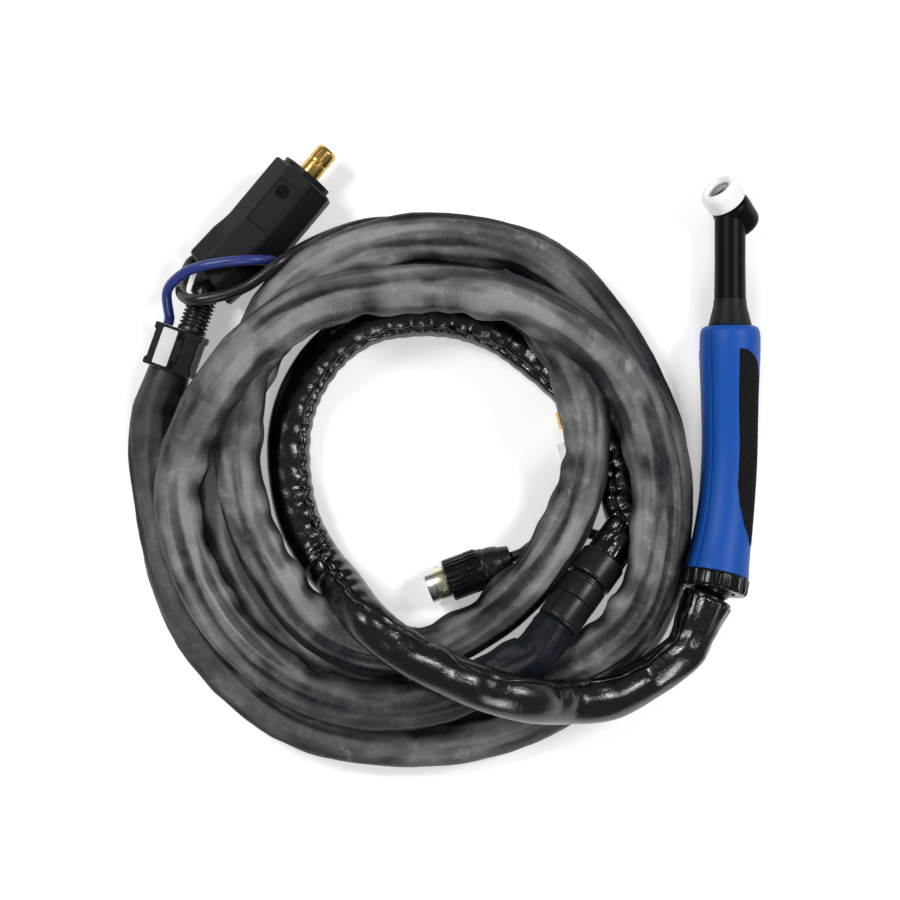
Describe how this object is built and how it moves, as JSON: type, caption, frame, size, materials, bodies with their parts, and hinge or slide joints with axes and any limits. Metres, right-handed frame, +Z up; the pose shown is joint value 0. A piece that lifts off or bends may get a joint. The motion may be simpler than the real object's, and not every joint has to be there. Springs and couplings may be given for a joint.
{
  "type": "tig torch",
  "caption": "Hand torch for arc welding with angled head, trigger handle on a ball joint, leather cover and a coiled sheathed cable set with power, control and gas ends.",
  "frame": {"origin": "on the ground plane below the middle of the torch's own box, from insulator ring to cuff, without the cable set", "axes": "+Y from the ball joint towards the torch's head, +Z up from the ground the set lies on, +X to the right with the coiled cable set on the -X side"},
  "size_m": [0.3711, 0.3666, 0.0834],
  "materials": {
    "blue_plastic": "satin moulded",
    "black_plastic": "satin moulded",
    "gloss_black": "glossy moulded",
    "soft_grip": "matt soft touch",
    "white_ceramic": "smooth white insulator",
    "brass": "turned, lightly tarnished",
    "copper": "drawn",
    "nickel": "nickel plated, turned",
    "steel": "plain",
    "leather": "glossy grained, gathered",
    "smoke_sheath": "smoky see-through hose, creased",
    "cable_rubber": "semi gloss",
    "blue_hose": "semi gloss"
  },
  "bodies": {
    "cable_set": {"swivel_ball": "gloss_black", "cover_cuff": "gloss_black", "leather_cover": "leather", "coupler_cap": "black_plastic", "coupler_body": "black_plastic", "coupler_tail": "black_plastic", "outer_sheath": "smoke_sheath", "strain_relief_top": "black_plastic", "strain_relief_bottom": "black_plastic", "strain_screw_front": "steel", "strain_screw_rear": "steel", "power_cable": "cable_rubber", "cable_boot": "cable_rubber", "plug_housing": "black_plastic", "plug_front_disc": "black_plastic", "plug_pin": "brass", "control_cable": "cable_rubber", "plug_insert": "black_plastic", "connector_backshell": "black_plastic", "cable_gland_nut": "black_plastic", "gas_hose": "blue_hose", "gas_ferrule": "brass", "gas_nipple": "brass"},
    "joint_liner": {"ball_cup": "black_plastic"},
    "torch": {"cup_insulator": "white_ceramic", "head_core": "brass", "neck_cover": "black_plastic", "neck_tube": "copper", "handle_shell_left": "blue_plastic", "handle_shell_right": "blue_plastic", "grip_inlay_left": "soft_grip", "grip_inlay_right": "soft_grip", "neck_lock_screw": "steel", "trigger_frame": "black_plastic", "switch_body": "black_plastic", "switch_leaf": "steel", "cable_connector": "brass", "handle_lead": "cable_rubber", "collar_nut": "gloss_black"},
    "trigger": {"trigger_button": "black_plastic"},
    "plug_ring": {"bayonet_sleeve": "nickel", "coupling_ring": "black_plastic"},
    "union_nut": {"gas_union_nut": "nickel"}
  },
  "joints": [
    {"name": "torch_swing", "type": "hinge", "parent": "cable_set", "child": "joint_liner", "pos_m": [-0.00427, -0.10863, 0.02759], "axis": [0, 0, 1], "range_deg": [-22, 0]},
    {"name": "torch_twist", "type": "hinge", "parent": "joint_liner", "child": "torch", "pos_m": [-0.00427, -0.10863, 0.02759], "axis": [-0.2064, -0.9606, 0.1859], "range_deg": [-90, 0]},
    {"name": "trigger_press", "type": "slide", "parent": "torch", "child": "trigger", "axis": [-0.7431, 0, 0.6691], "range_m": [0, 0.001], "stiffness_N_per_m": 1500, "springref_m": -0.0012},
    {"name": "coupling_ring_turn", "type": "hinge", "parent": "cable_set", "child": "plug_ring", "pos_m": [-0.1713, -0.1135, 0.0129], "axis": [-0.9371, -0.349, 0], "range_deg": [0, 60]},
    {"name": "union_nut_spin", "type": "hinge", "parent": "cable_set", "child": "union_nut", "pos_m": [-0.0915, -0.0081, 0.0073], "axis": [0.2399, -0.9708, 0], "continuous": true}
  ]
}
